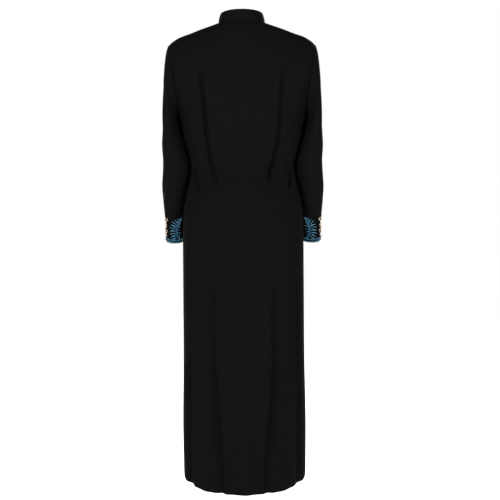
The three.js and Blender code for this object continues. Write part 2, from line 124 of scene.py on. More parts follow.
# Seen from outside the sleeve, as (y, z): short drag lines at the bend of the elbow and long soft ones above.
SLEEVE_OUTER_CREASES = [
    dict(points=[(30, -168), (34, -240), (30, -312), (24, -372)], width=11, depth=2.0, fade=0.4),
    dict(points=[(-36, -180), (-42, -260), (-44, -330)], width=11, depth=2.2, fade=0.4),
    dict(points=[(-8, -330), (-2, -384), (-6, -430)], width=9, depth=1.4, fade=0.45),
    dict(points=[(-84, -398), (-62, -412), (-38, -418), (-14, -414)], width=7, depth=3.2, fade=0.35),
    dict(points=[(-88, -430), (-66, -436), (-42, -434), (-20, -424)], width=7, depth=2.6, fade=0.35),
    dict(points=[(-90, -458), (-72, -462), (-50, -460)], width=7, depth=2.4, fade=0.4),
    dict(points=[(22, -438), (6, -470), (-16, -504), (-40, -540)], width=9, depth=1.8, fade=0.4),
    dict(points=[(-62, -478), (-74, -512), (-84, -552)], width=8, depth=1.6, fade=0.4),
]
SLEEVE_INNER_CREASES = [
    dict(points=[(-82, -404), (-58, -414), (-30, -414)], width=7, depth=2.6, fade=0.4),
    dict(points=[(-86, -436), (-62, -442), (-34, -436)], width=7, depth=2.6, fade=0.4),
    dict(points=[(-30, -478), (-50, -520), (-66, -556)], width=8, depth=1.6, fade=0.4),
]

# Heights in metres past which an edge is a hem, the collar's top or the cuff's end, and not a seam.
HEM_FROM = -1.34
COLLAR_TOP_FROM = 0.02
CUFF_END_FROM = -0.62

# The cuff's middle line in mm, from its seam to its end, for laying the embroidery out on it.
CUFF_FROM = Vector((208, -72, -572))
CUFF_TO = Vector((208.8, -98.5, -649))


# ---------------------------------------------------------------- sizes and colours


class AbayaSizes(bpy.types.PropertyGroup):
    """Sizes that a maker would change."""

    cloth: FloatProperty(
        name="Cloth", description="Thickness of the crepe", default=0.0011, unit="LENGTH", min=0.0004, max=0.0016
    )
    doubled: FloatProperty(
        name="Doubled cloth", description="Thickness of the collar and cuff bands", default=0.0018,
        unit="LENGTH", min=0.0008, max=0.0024,
    )
    crease: FloatProperty(name="Crease", description="Share of each crease's depth", default=1.7, min=0, max=2.5)
    seam_dip: FloatProperty(
        name="Seam dip", description="How far the cloth dips into a seam", default=0.0008, unit="LENGTH", min=0
    )
    armhole_dip: FloatProperty(
        name="Armhole dip", description="How far the body's cloth dips into the armhole seam", default=0.0016,
        unit="LENGTH", min=0,
    )
    allowance: FloatProperty(
        name="Seam allowance", description="Cloth turned under the next piece at a seam", default=0.0018,
        unit="LENGTH", min=0.0005, max=0.003,
    )
    stitch: FloatProperty(
        name="Stitch", description="Length of one topstitch with its gap", default=0.0034, unit="LENGTH", min=0.002
    )
    stitch_width: FloatProperty(
        name="Stitch width", description="Width of the sewing thread", default=0.0005, unit="LENGTH", min=0.0002
    )


class AbayaColours(bpy.types.PropertyGroup):
    """Colours of the cloth and threads, linear."""

    crepe: FloatVectorProperty(
        name="Crepe", description="Body cloth", subtype="COLOR", size=3, default=(0.0036, 0.0035, 0.0037),
        min=0, max=1,
    )
    blue: FloatVectorProperty(
        name="Blue thread", description="Palm fronds", subtype="COLOR", size=3, default=(0.012, 0.13, 0.26),
        min=0, max=1,
    )
    pale_blue: FloatVectorProperty(
        name="Pale blue thread", description="Tips of the fronds", subtype="COLOR", size=3,
        default=(0.1, 0.36, 0.52), min=0, max=1,
    )
    cream: FloatVectorProperty(
        name="Cream thread", description="Flowers", subtype="COLOR", size=3, default=(0.62, 0.5, 0.38),
        min=0, max=1,
    )


def sizes():
    return bpy.context.scene.abaya_sizes


def colours():
    return bpy.context.scene.abaya_colours


# ---------------------------------------------------------------- materials


class Shader:
    """Builds a node material a link at a time."""

    def __init__(self, name):
        self.material = bpy.data.materials.new(name)
        self.material.use_nodes = True
        self.tree = self.material.node_tree
        self.bsdf = self.tree.nodes["Principled BSDF"]

    def node(self, kind, inputs=None, **settings):
        made = self.tree.nodes.new(kind)
        for key, value in settings.items():
            setattr(made, key, value)
        for key, value in (inputs or {}).items():
            self.put(made.inputs[key], value)
        return made

    def put(self, socket, value):
        if isinstance(value, bpy.types.NodeSocket):
            self.tree.links.new(value, socket)
        else:
            socket.default_value = value

    def noise(self, vector, scale, detail=2.0, roughness=0.5):
        return self.node(
            "ShaderNodeTexNoise",
            {"Vector": vector, "Scale": scale, "Detail": detail, "Roughness": roughness},
        ).outputs["Fac"]

    def spread(self, value, low, high):
        """A value from 0 to 1 turned into one from low to high."""
        return self.node("ShaderNodeMapRange", {"Value": value, "To Min": low, "To Max": high}).outputs["Result"]

    def mix(self, share, first, second):
        made = self.node("ShaderNodeMix", data_type="RGBA")
        self.put(made.inputs["Factor"], share)
        self.put(made.inputs["A"], first)
        self.put(made.inputs["B"], second)
        return made.outputs["Result"]

    def bump(self, height, strength, distance, onto=None):
        made = self.node("ShaderNodeBump", {"Height": height, "Strength": strength, "Distance": distance})
        if onto is not None:
            self.put(made.inputs["Normal"], onto)
        return made.outputs["Normal"]


def four(colour, share=1.0):
    return (colour[0] * share, colour[1] * share, colour[2] * share, 1.0)


def crepe_material(name, tint=1.0):
    """Matte black crepe: a fine pebbled weave, slightly uneven in tone, with a soft nap."""
    s = Shader(name)
    place = s.node("ShaderNodeTexCoord").outputs["Object"]
    grain = s.noise(place, 1150, 2.5, 0.6)
    twist = s.noise(place, 420, 1.5)
    patch = s.noise(place, 9, 2.0)
    base = colours().crepe
    tone = s.mix(s.spread(grain, 0.0, 1.0), four(base, 0.78 * tint), four(base, 1.22 * tint))
    tone = s.mix(s.spread(patch, 0.0, 0.3), tone, four(base, 1.25 * tint))
    s.put(s.bsdf.inputs["Base Color"], tone)
    s.put(s.bsdf.inputs["Roughness"], s.spread(twist, 0.8, 0.96))
    s.bsdf.inputs["Specular IOR Level"].default_value = 0.015
    s.bsdf.inputs["Sheen Weight"].default_value = 0.002
    s.bsdf.inputs["Sheen Roughness"].default_value = 0.45
    pebble = s.bump(grain, 0.35, 0.0004)
    s.put(s.bsdf.inputs["Normal"], s.bump(twist, 0.2, 0.0006, pebble))
    return s.material


def thread_material(name, colour, bright, gloss):
    """Lustrous embroidery thread: fine parallel stitches across each motif, with painted shade in the grooves
    between them, each motif a little different.
    """
    s = Shader(name)
    across = s.node("ShaderNodeUVMap", uv_map="Stitches").outputs["UV"]
    stitch_ridges_and_groove_shade = s.node(
        "ShaderNodeTexWave",
        {"Vector": across, "Scale": 1.0, "Distortion": 0.6, "Detail": 1.0, "Detail Scale": 2.0},
        wave_type="BANDS", bands_direction="Y",
    ).outputs["Fac"]
    shade = s.node("ShaderNodeAttribute", attribute_name="Shade").outputs["Fac"]
    tone = s.mix(shade, four(colour), four(bright))
    # painted shade: the colour darkens towards 0.35 of itself in the grooves between stitches, where the bump is low
    tone = s.mix(s.spread(stitch_ridges_and_groove_shade, 0.35, 0.0), tone, four(colour, 0.35))
    s.put(s.bsdf.inputs["Base Color"], tone)
    s.put(s.bsdf.inputs["Roughness"], s.spread(stitch_ridges_and_groove_shade, 0.5, 0.34))
    s.bsdf.inputs["Specular IOR Level"].default_value = gloss
    s.bsdf.inputs["Sheen Weight"].default_value = 0.1
    s.put(s.bsdf.inputs["Normal"], s.bump(stitch_ridges_and_groove_shade, 0.5, 0.0003))
    return s.material


def plain_material(name, colour, roughness=0.9):
    s = Shader(name)
    place = s.node("ShaderNodeTexCoord").outputs["Object"]
    speck = s.noise(place, 60, 2.0)
    s.put(s.bsdf.inputs["Base Color"], s.mix(s.spread(speck, 0.0, 0.1), four(colour), four(colour, 0.9)))
    s.bsdf.inputs["Roughness"].default_value = roughness
    s.bsdf.inputs["Specular IOR Level"].default_value = 0.1
    return s.material


def floor_material(name):
    """A white studio floor, lit from within so that it stays as bright as the room behind it."""
    s = Shader(name)
    s.bsdf.inputs["Base Color"].default_value = (0.9, 0.9, 0.9, 1)
    s.bsdf.inputs["Roughness"].default_value = 0.9
    s.bsdf.inputs["Emission Color"].default_value = (1, 1, 1, 1)
    s.bsdf.inputs["Emission Strength"].default_value = 0.95
    return s.material


def material(name, make, *args):
    return bpy.data.materials.get(name) or make(name, *args)


def crepe():
    return material("Black crepe", crepe_material)


def cuff_crepe():
    return material("Black cuff crepe", crepe_material, 0.75)


def sewing_thread():
    return material("Black sewing thread", plain_material, (0.008, 0.008, 0.0085), 0.6)


# ---------------------------------------------------------------- cloth


def core_at(core, z):
    """The point inside the garment at this height, in metres."""
    heights = [row[0] for row in core][::-1]
    x = np.interp(z / MM, heights, [row[1] for row in core][::-1])
    y = np.interp(z / MM, heights, [row[2] for row in core][::-1])
    return Vector((x, y, np.clip(z / MM, heights[0], heights[-1]))) * MM


def outer_cloth(node, core):
    """The outer face of a CAD panel's wall, welded, as one open sheet of four-sided faces."""
    side = -1 if node.endswith("_right") and node != "front_right" else 1
    bm = bmesh.new()
    bm.from_mesh(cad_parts[node].data)
    bmesh.ops.remove_doubles(bm, verts=bm.verts, dist=WELD)
    bm.normal_update()
    outward = {vert: 0.0 for vert in bm.verts}
    for face in bm.faces:
        centre = face.calc_center_median()
        core_point = core_at(core, centre.z)
        core_point.x *= side
        facing = face.normal.dot((centre - core_point).normalized()) * face.calc_area()
        for vert in face.verts:
            outward[vert] += facing
    inner = [face for face in bm.faces if any(outward[vert] <= 0 for vert in face.verts)]
    bmesh.ops.delete(bm, geom=inner, context="FACES")
    bmesh.ops.join_triangles(
        bm, faces=bm.faces[:], angle_face_threshold=math.radians(50), angle_shape_threshold=math.radians(80)
    )
    return bm


def subdivided(bm, levels):
    """The mesh after smooth subdivision that still passes through the panel's own points."""
    rough = bpy.data.meshes.new("rough")
    bm.to_mesh(rough)
    bm.free()
    own = positions(rough)
    holder = bpy.data.objects.new("rough", rough)
    bpy.context.scene.collection.objects.link(holder)
    smooth = holder.modifiers.new("Smooth", "SUBSURF")
    smooth.levels = smooth.render_levels = levels
    smooth.boundary_smooth = "PRESERVE_CORNERS"
    for fit in range(FITS + 1):
        bpy.context.view_layer.update()
        depsgraph = bpy.context.evaluated_depsgraph_get()
        mesh = bpy.data.meshes.new_from_object(holder.evaluated_get(depsgraph))
        if fit < FITS:
            move_to(rough, positions(rough) + own - positions(mesh)[: len(own)])
            bpy.data.meshes.remove(mesh)
    bpy.data.objects.remove(holder)
    bpy.data.meshes.remove(rough)
    return mesh


def positions(mesh):
    co = np.empty(len(mesh.vertices) * 3, np.float32)
    mesh.vertices.foreach_get("co", co)
    return co.reshape(-1, 3).astype(float)


def normals(mesh):
    no = np.empty(len(mesh.vertices) * 3, np.float32)
    mesh.vertex_normals.foreach_get("vector", no)
    return no.reshape(-1, 3).astype(float)


def move_to(mesh, co):
    mesh.vertices.foreach_set("co", co.astype(np.float32).ravel())
    mesh.update()


def smooth_line(points, step=4.0):
    """Points along a soft curve through a crease's own points, about step mm apart."""
    points = np.array(points, float)
    lengths = np.concatenate([[0], np.cumsum(np.linalg.norm(np.diff(points, axis=0), axis=1))])
    along = np.linspace(0, lengths[-1], max(4, int(lengths[-1] / step)))
    curve = np.column_stack([np.interp(along, lengths, points[:, i]) for i in range(2)])
    reach = max(1, len(along) // 14)
    kernel = np.ones(2 * reach + 1) / (2 * reach + 1)
    padded = np.vstack([
        curve[0] + (curve[0] - curve[1]) * np.arange(reach, 0, -1)[:, None],
        curve,
        curve[-1] + (curve[-1] - curve[-2]) * np.arange(1, reach + 1)[:, None],
    ])
    return np.column_stack([np.convolve(padded[:, i], kernel, "valid") for i in range(2)]), along / lengths[-1]


def lay_on(tree, flat, view):
    """Drops points of a line onto the cloth, seen from one side."""
    laid, kept = [], []
    for i, (across, z) in enumerate(flat):
        if view in ("behind", "in front"):
            start = Vector((across * MM, 1.0 if view == "behind" else -1.0, z * MM))
            towards = Vector((0, -1 if view == "behind" else 1, 0))
        else:
            start = Vector((1.0 if view == "left" else -1.0, across * MM, z * MM))
            towards = Vector((-1 if view == "left" else 1, 0, 0))
        hit = tree.ray_cast(start, towards)[0]
        if hit is not None:
            laid.append(hit)
            kept.append(i)
    return np.array(laid).reshape(-1, 3), kept


def along_line(line):
    """The direction of a laid line at each of its points."""
    ahead = np.gradient(line, axis=0)
    return ahead / np.maximum(np.linalg.norm(ahead, axis=1), 1e-9)[:, None]


def nearest_on(line, co, reach):
    """Which points lie within reach of a line, the line's nearest point to each, and how far off it is."""
    near = np.where(np.all((co > line.min(0) - reach) & (co < line.max(0) + reach), axis=1))[0]
    if not len(near):
        return near, near, near
    away = np.linalg.norm(co[near][:, None, :] - line[None, :, :], axis=2)
    return near, away.argmin(1), away.min(1)


def refine_beside(mesh, lines):
    """Splits the cloth's faces beside each crease, so that a narrow trough keeps its shape."""
    bm = bmesh.new()
    bm.from_mesh(mesh)
    edges = list(bm.edges)
    ends = np.array([[edge.verts[0].co, edge.verts[1].co] for edge in edges])
    middle = ends.mean(1)
    run = ends[:, 1] - ends[:, 0]
    run /= np.maximum(np.linalg.norm(run, axis=1), 1e-9)[:, None]
    chosen = np.zeros(len(edges), bool)
    for crease, line in lines:
        near, at, away = nearest_on(line, middle, 3 * crease["width"] * MM)
        if len(near):
            close = away < 2.6 * crease["width"] * MM
            across = np.abs((run[near] * along_line(line)[at]).sum(1)) < 0.55
            chosen[near[close & across]] = True
    bmesh.ops.subdivide_edges(bm, edges=[e for e, c in zip(edges, chosen) if c], cuts=1, smooth=0.0)
    bm.to_mesh(mesh)
    bm.free()
    mesh.update()


def press_creases(mesh, creases, view):
    """Presses soft troughs, each with a low ridge beside it, into the cloth along its normals."""
    tree = BVHTree.FromPolygons([v.co for v in mesh.vertices], [tuple(f.vertices) for f in mesh.polygons])
    laid = []
    for crease in creases:
        flat, share = smooth_line(crease["points"])
        line, kept = lay_on(tree, flat, view)
        if len(kept) > 3:
            laid.append((crease, line, share[kept]))
    refine_beside(mesh, [(crease, line) for crease, line, _ in laid if crease["width"] < 12])
    co, no = positions(mesh), normals(mesh)
    move = np.zeros(len(co))
    for crease, line, share in laid:
        width = crease["width"] * MM
        near, at, away = nearest_on(line, co, 5 * width)
        if not len(near):
            continue
        fade = crease["fade"]
        strength = np.clip(share / fade, 0, 1)
        if min(z for _, z in crease["points"]) > HEM_LINE:
            strength = strength * np.clip((1 - share) / fade, 0, 1)
        strength = strength * strength * (3 - 2 * strength)
        aside = np.cross(along_line(line)[at], no[near])
        hand = np.sign(((co[near] - line[at]) * aside).sum(1)) * crease.get("lean", 0)
        q = away / width
        profile = np.exp(-(q ** 1.7)) - (0.3 + 0.3 * hand) * np.exp(-((q - 2.1) ** 2))
        move[near] -= crease["depth"] * MM * profile * strength[at]
    move_to(mesh, co + no * move[:, None] * sizes().crease)


def is_open_edge(vert, open_above, open_below):
    """Whether a point of a piece's edge is on the hem, the cuff's end or the collar's top, which meet no seam."""
    return vert.co.z > open_above or vert.co.z < open_below


def rest_against(mesh, body, top, bottom):
    """Lets the cloth between two heights hang against the body's side, short of touching it."""
    co, no = positions(mesh), normals(mesh)
    z = co[:, 2] / MM
    level = np.clip((top - z) / REST_START, 0, 1) * np.clip((z - bottom) / REST_END, 0, 1)
    for i in np.where(level > 0)[0]:
        hits = (tree.find_nearest(co[i], REST_REACH * MM) for tree in body)
        point, _, _, gap = min(hits, key=lambda hit: hit[3] if hit[0] else 1.0)
        if point is None:
            continue
        towards = np.array(point) - co[i]
        clear = gap - REST_KEPT * MM
        if clear <= 0 or towards @ no[i] < 0.4 * gap:
            continue
        share = level[i] * np.clip((REST_NONE * MM - gap) / ((REST_NONE - REST_FULL) * MM), 0, 1)
        co[i] += towards / gap * clear * share
    move_to(mesh, co)


def armholes():
    """The two sleeves as they meet the body, to find which edges of a panel are its armholes."""
    return [tree_of(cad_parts["sleeve_" + side]) for side in ("left", "right")]


def turn_in_edges(mesh, depth, open_above=9.0, open_below=-9.0, sleeves=()):
    """Rolls each edge of the cloth inwards and turns its allowance under the next piece, as a seam does."""
    allowance = sizes().allowance
    bm = bmesh.new()
    bm.from_mesh(mesh)
    bm.normal_update()
    rim = [edge for edge in bm.edges if edge.is_boundary]
    inward, outward = {}, {}
    for edge in rim:
        face = edge.link_faces[0]
        along = (edge.verts[1].co - edge.verts[0].co).normalized()
        away = along.cross(face.normal)
        if away.dot(face.calc_center_median() - edge.verts[0].co) > 0:
            away.negate()
        for vert in edge.verts:
            outward[vert] = outward.get(vert, Vector()) + away
            inward[vert] = -vert.normal.copy()
    for vert in outward:
        armhole = any(tree.find_nearest(vert.co, 3 * MM)[0] is not None for tree in sleeves)
        vert.co += inward[vert] * (sizes().armhole_dip if armhole else depth * 0.5)
    made = bmesh.ops.extrude_edge_only(bm, edges=rim)["geom"]
    nearest = {(round(v.co.x, 7), round(v.co.y, 7), round(v.co.z, 7)): v for v in outward}
    for item in made:
        if isinstance(item, bmesh.types.BMVert):
            source = nearest[(round(item.co.x, 7), round(item.co.y, 7), round(item.co.z, 7))]
            free = is_open_edge(source, open_above, open_below)
            reach = 0.0 if free else allowance
            under = OPEN_EDGE_TURN if free else allowance * UNDER_SHARE
            item.co += outward[source].normalized() * reach + inward[source] * (depth + under)
    bmesh.ops.recalc_face_normals(bm, faces=bm.faces[:])
    bm.to_mesh(mesh)
    bm.free()
    mesh.update()


def cloth_piece(name, mesh, thickness, finish):
    """A finished cloth object: the sheet, given its thickness inwards."""
    obj = bpy.data.objects.new(name, mesh)
    mesh.name = name
    mesh.materials.clear()
    mesh.materials.append(finish)
    mesh.polygons.foreach_set("use_smooth", np.ones(len(mesh.polygons), bool))
    bpy.context.scene.collection.objects.link(obj)
    wall = obj.modifiers.new("Thickness", "SOLIDIFY")
    wall.thickness = thickness
    wall.offset = -1
    wall.use_rim = True
    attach(obj, BODY)
    return obj


def tree_of(obj):
    mesh = obj.data
    return BVHTree.FromPolygons([v.co for v in mesh.vertices], [tuple(f.vertices) for f in mesh.polygons])


# ---------------------------------------------------------------- pieces


class ABAYA_OT_back(bpy.types.Operator):
    """Make the back panel with its long folds"""

    bl_idname = "abaya.back"
    bl_label = "Back"

    def execute(self, context):
        mesh = subdivided(outer_cloth("back", TORSO_CORE), 2)
        press_creases(mesh, BACK_CREASES, "behind")
        turn_in_edges(mesh, sizes().seam_dip, open_below=HEM_FROM, sleeves=armholes())
        piece = cloth_piece("back_cloth", mesh, sizes().cloth, crepe())
        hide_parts("back")
        return {"FINISHED"}


class ABAYA_OT_fronts(bpy.types.Operator):
    """Make the two lapped fronts with their folds"""

    bl_idname = "abaya.fronts"
    bl_label = "Fronts"

    def execute(self, context):
        for side in ("left", "right"):
            mesh = subdivided(outer_cloth("front_" + side, TORSO_CORE), 2)
            press_creases(mesh, FRONT_CREASES, "in front")
            turn_in_edges(mesh, sizes().seam_dip, open_below=HEM_FROM, sleeves=armholes())
            piece = cloth_piece("front_" + side + "_cloth", mesh, sizes().cloth, crepe())
            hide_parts("front_" + side)
        return {"FINISHED"}


class ABAYA_OT_collar(bpy.types.Operator):
    """Make the stand collar"""

    bl_idname = "abaya.collar"
    bl_label = "Collar"

    def execute(self, context):
        mesh = subdivided(outer_cloth("collar", COLLAR_CORE), 3)
        turn_in_edges(mesh, sizes().seam_dip * 0.6, open_above=COLLAR_TOP_FROM)
        piece = cloth_piece("collar_cloth", mesh, sizes().doubled, crepe())
        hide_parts("collar")
        return {"FINISHED"}


class ABAYA_OT_sleeves(bpy.types.Operator):
    """Make the two sleeves, creased at the elbows"""

    bl_idname = "abaya.sleeves"
    bl_label = "Sleeves"

    def execute(self, context):
        for side in ("left", "right"):
            mesh = subdivided(outer_cloth("sleeve_" + side, ARM_CORE), 2)
            shift = 0 if side == "left" else 5
            inner_side = "right" if side == "left" else "left"
            for creases, view in ((SLEEVE_OUTER_CREASES, side), (SLEEVE_INNER_CREASES, inner_side)):
                moved = [dict(c, points=[(y, z - shift) for y, z in c["points"]]) for c in creases]
                press_creases(mesh, moved, view)
            body = [tree_of(bpy.data.objects[name]) for name in ("back_cloth", "front_" + side + "_cloth")]
            rest_against(mesh, body, REST_TOP, REST_BOTTOM)
            turn_in_edges(mesh, sizes().seam_dip)
            piece = cloth_piece("sleeve_" + side + "_cloth", mesh, sizes().cloth, crepe())
            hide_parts("sleeve_" + side)
        return {"FINISHED"}


class ABAYA_OT_cuffs(bpy.types.Operator):
    """Make the two cuff bands"""

    bl_idname = "abaya.cuffs"
    bl_label = "Cuffs"

    def execute(self, context):
        for side in ("left", "right"):
            mesh = subdivided(outer_cloth("cuff_" + side, CUFF_CORE), 3)
            turn_in_edges(mesh, sizes().seam_dip * 0.8, open_below=CUFF_END_FROM)
            piece = cloth_piece("cuff_" + side + "_cloth", mesh, sizes().doubled, cuff_crepe())
            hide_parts("cuff_" + side)
        return {"FINISHED"}


# ---------------------------------------------------------------- embroidery


class CuffCloth:
    """The left cuff laid out flat: around from the outer side over the back, and down from its seam, in mm."""

    def __init__(self):
        self.tree = tree_of(bpy.data.objects["cuff_left_cloth"])
        self.start, self.run = CUFF_FROM, CUFF_TO - CUFF_FROM
        self.length = self.run.length
        self.down = self.run.normalized()
        self.side = (Vector((1, 0, 0)) - self.down * self.down.x).normalized()
        self.behind = self.side.cross(self.down).normalized()
        if self.behind.y < 0:
            self.behind.negate()
        angles = np.radians(np.arange(0, 361, 3))
        ring = [self.hit(a, self.length * 0.6)[0] / MM for a in angles]
        steps = [(b - a).length for a, b in zip(ring, ring[1:])]
        self.turns = angles
        self.rounds = np.concatenate([[0], np.cumsum(steps)])
        self.around = self.rounds[-1]

    def hit(self, angle, down):
        outward = self.side * math.cos(angle) + self.behind * math.sin(angle)
        middle = self.start + self.down * down
        found, normal, _, _ = self.tree.ray_cast((middle + outward * 90) * MM, -outward)
        if found is None:
            raise RuntimeError("the cuff's cloth wasn't found at %.0f mm" % down)
        if normal.dot(outward) < 0:
            normal.negate()
        return found, normal

    def place(self, around, down, height):
        """A point of the cuff's surface, height mm above the cloth."""
        angle = float(np.interp(around % self.around, self.rounds, self.turns))
        point, normal = self.hit(angle, min(max(down, 1.2), self.length - 1.2))
        return point + normal * height * MM


def bezier(points, t):
    a, b, c = (Vector(p) for p in points)
    return a * (1 - t) ** 2 + b * 2 * t * (1 - t) + c * t * t


class Embroidery:
    """One colour's satin stitch on one cuff, as closed raised leaves, stems and dots."""

    def __init__(self, cloth):
        self.cloth = cloth
        self.bm = bmesh.new()
        self.uv = self.bm.loops.layers.uv.new("Stitches")
        self.shade = self.bm.verts.layers.float.new("Shade")

    def motif(self, points, half_width, rise, shade=0.3, pointed=1.0, rings=9, ends=1.0):
        """A raised leaf along a curve: its widest half-width, its height, and how pointed its tips are."""
        made = bmesh.ops.create_uvsphere(self.bm, u_segments=8, v_segments=rings, radius=1.0)["verts"]
        length = sum((bezier(points, i / 8 + 0.125) - bezier(points, i / 8)).length for i in range(8))
        shape = {}
        for vert in made:
            x, y, z = vert.co
            shape[vert] = (x, y, z)
            t = (z + 1) / 2
            ring = math.sqrt(max(1e-6, 1 - z * z))
            across, up = (x / ring, y / ring) if ring > 0.01 else (0.0, 0.0)
            width = half_width * ring ** ends * (1 - 0.35 * pointed * abs(z) ** 3)
            middle = bezier(points, t)
            ahead = bezier(points, min(1, t + 0.02)) - bezier(points, max(0, t - 0.02))
            sideways = Vector((-ahead.y, ahead.x)).normalized()
            place = middle + sideways * across * width
            height = rise * (0.12 + up * min(1.0, ring ** 0.7)) if up > 0 else -0.3 * ring
            vert.co = self.cloth.place(place.x, place.y, height)
            vert[self.shade] = min(1.0, max(0.0, shade + 0.45 * (t - 0.5)))
        for face in {f for v in made for f in v.link_faces}:
            for loop in face.loops:
                x, _, z = shape[loop.vert]
                loop[self.uv].uv = (x * half_width * 0.5, (z + 1) / 2 * length * 1.6 + x * 0.4)

    def dot(self, around, down, radius, rise, shade=0.8):
        self.motif([(around, down - radius), (around, down), (around, down + radius)], radius, rise, shade, 0.0, 7)

    def line(self, down, half_width, rise, shade, parts=24):
        """A row of satin stitch right round the cuff."""
        step = self.cloth.around / parts
        for i in range(parts):
            points = [((i + share) * step, down) for share in (-0.06, 0.5, 1.06)]
            self.motif(points, half_width, rise, shade, 0.0, 7, 0.35)

    def finish(self, name, finish, slot):
        bmesh.ops.recalc_face_normals(self.bm, faces=self.bm.faces[:])
        for mirrored, side in ((False, "left"), (True, "right")):
            bm = self.bm.copy()
            if mirrored:
                bmesh.ops.scale(bm, vec=(-1, 1, 1), verts=bm.verts[:])
                bmesh.ops.reverse_faces(bm, faces=bm.faces[:])
            mesh = bpy.data.meshes.new(name + "_" + side)
            bm.to_mesh(mesh)
            bm.free()
            mesh.materials.append(finish)
            mesh.polygons.foreach_set("use_smooth", np.ones(len(mesh.polygons), bool))
            obj = bpy.data.objects.new(name + "_" + side, mesh)
            bpy.context.scene.collection.objects.link(obj)
            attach(obj, BODY)
        self.bm.free()


def fan(blue, pale, around, facing):
    """A spray of palm fronds that opens from a curved spine."""
    spine = [(around + facing * 13, 9), (around - facing * 6, 34), (around + facing * 3, 63)]
    blue.motif(spine, 1.2, 0.9, 0.1, 0.3, 15, 0.5)
    for outer, count, first, last, longest, width in ((1, 11, -104, 34, 27, 1.25), (-1, 8, -64, 56, 15, 1.0)):
        for i in range(count):
            t = i / (count - 1)
            root = bezier(spine, 0.06 + 0.9 * t)
            turn = math.radians(first + (last - first) * t)
            reach = longest * (1 - 0.3 * abs(t - 0.45) - 0.06 * (i % 2))
            tip = Vector((-facing * outer * math.cos(turn), math.sin(turn))) * reach
            bend = Vector((-facing * outer * math.cos(turn - 0.5), math.sin(turn - 0.5))) * reach * 0.55
            blue.motif([root, root + bend, root + tip], width, 1.0, 0.12 + 0.2 * (i % 3), 1.0, 11)
            if i % 2:
                pale.motif([root + bend * 0.7, root + bend * 1.1, root + tip * 0.96], 0.5, 1.4, 0.3, 1.0, 7)


def flower(cream, around, down, radius, turn, petals=5):
    """A small open flower of pointed petals round a raised eye."""
    middle = Vector((around, down))
    for i in range(petals):
        angle = turn + 2 * math.pi * i / petals
        ray = Vector((math.cos(angle), math.sin(angle)))
        lean = Vector((math.cos(angle + 0.35), math.sin(angle + 0.35)))
        cream.motif(
            [middle + ray * radius * 0.16, middle + lean * radius * 0.6, middle + ray * radius],
            radius * 0.25, 1.1, 0.4 + 0.15 * (i % 2), 1.0, 9,
        )
    cream.dot(around, down, radius * 0.17, 1.4, 0.0)


def flower_vine(cream, around, facing):
    """A column of flowers and buds on a winding stem."""
    for offset, down, radius, turn in ((1, 24, 11.5, 0.3), (-3, 45, 8.5, 0.9), (3, 60, 6.5, 0.2)):
        flower(cream, around + facing * offset, down, radius, turn * facing)
    for first, bend, last in (
        ((0, 14), (-5, 10), (1, 5)),
        ((1, 33), (7, 36), (-2, 40)),
        ((-3, 51), (-8, 54), (2, 56)),
        ((5, 16), (12, 13), (14, 6)),
        ((-6, 30), (-12, 33), (-12, 40)),
    ):
        cream.motif([(around + facing * x, z) for x, z in (first, bend, last)], 0.6, 0.8, 0.2, 0.3, 9, 0.5)
    for x, down, lean in ((2, 9, 1), (-2, 9, -1), (6, 36, 1), (-1, 38, -1), (-7, 54, -1), (13, 8, 1), (12, 13, 1),
                          (-12, 37, -1), (-11, 43, -1), (7, 52, 1), (9, 46, 1)):
        start = Vector((around + facing * x, down))
        step = Vector((facing * lean, 0))
        cream.motif([start, start + step * 2 + Vector((0, -2.5)), start + step * 5.5 + Vector((0, -4))],
                    1.25, 0.9, 0.4, 1.0, 7)


def lattice(blue, around, facing):
    """Slanted dashes in crossing rows, a darker ground beside the fronds."""
    for row in range(9):
        for column in range(5):
            x, down = around + facing * column * 4.6, 10 + row * 6.2 + 3.1 * (column % 2)
            slant = 1.5 if (row + column) % 2 else -1.5
            blue.motif([(x - slant, down - 1.3), (x, down), (x + slant, down + 1.3)], 0.5, 0.6, 0.0, 0.6, 5)


def scallops(blue, pale, count=22):
    """A row of small arches with a dot in each, right round above the cuff's edge."""
    step = blue.cloth.around / count
    for i in range(count):
        left, right = (i + 0.06) * step, (i + 0.94) * step
        blue.motif([(left, 73.4), ((left + right) / 2, 62.6), (right, 73.4)], 0.75, 0.9, 0.3, 0.2, 11, 0.4)
        pale.dot((left + right) / 2, 71.6, 1.0, 0.9, 0.3)


class ABAYA_OT_embroidery(bpy.types.Operator):
    """Embroider both cuffs with palm fronds, flowers, dashes, a scalloped row and edge lines"""

    bl_idname = "abaya.embroidery"
    bl_label = "Cuff embroidery"

    def execute(self, context):
        c = colours()
        cloth = CuffCloth()
        blue, pale, cream = Embroidery(cloth), Embroidery(cloth), Embroidery(cloth)
        round_at = lambda degrees: float(np.interp(math.radians(degrees), cloth.turns, cloth.rounds))
        for half in (0, 180):
            flower_vine(cream, round_at(34 + half), 1)
            fan(blue, pale, round_at(98 + half), 1)
            lattice(blue, round_at(139 + half), 1)
        scallops(blue, pale)
        blue.line(76.6, 0.7, 0.8, 0.35)
        pale.line(79.3, 0.42, 0.7, 0.5)
        blue_thread = material("Blue thread", thread_material, c.blue, c.pale_blue, 0.45)
        pale_thread = material("Pale blue thread", thread_material, c.pale_blue, (0.3, 0.62, 0.72), 0.5)
        cream_thread = material("Cream thread", thread_material, c.cream, (0.85, 0.77, 0.64), 0.45)
        blue.finish("embroidery_blue", blue_thread, "thread_blue")
        pale.finish("embroidery_pale", pale_thread, "thread_blue")
        cream.finish("embroidery_cream", cream_thread, "thread_cream")
        return {"FINISHED"}


# ---------------------------------------------------------------- sewing


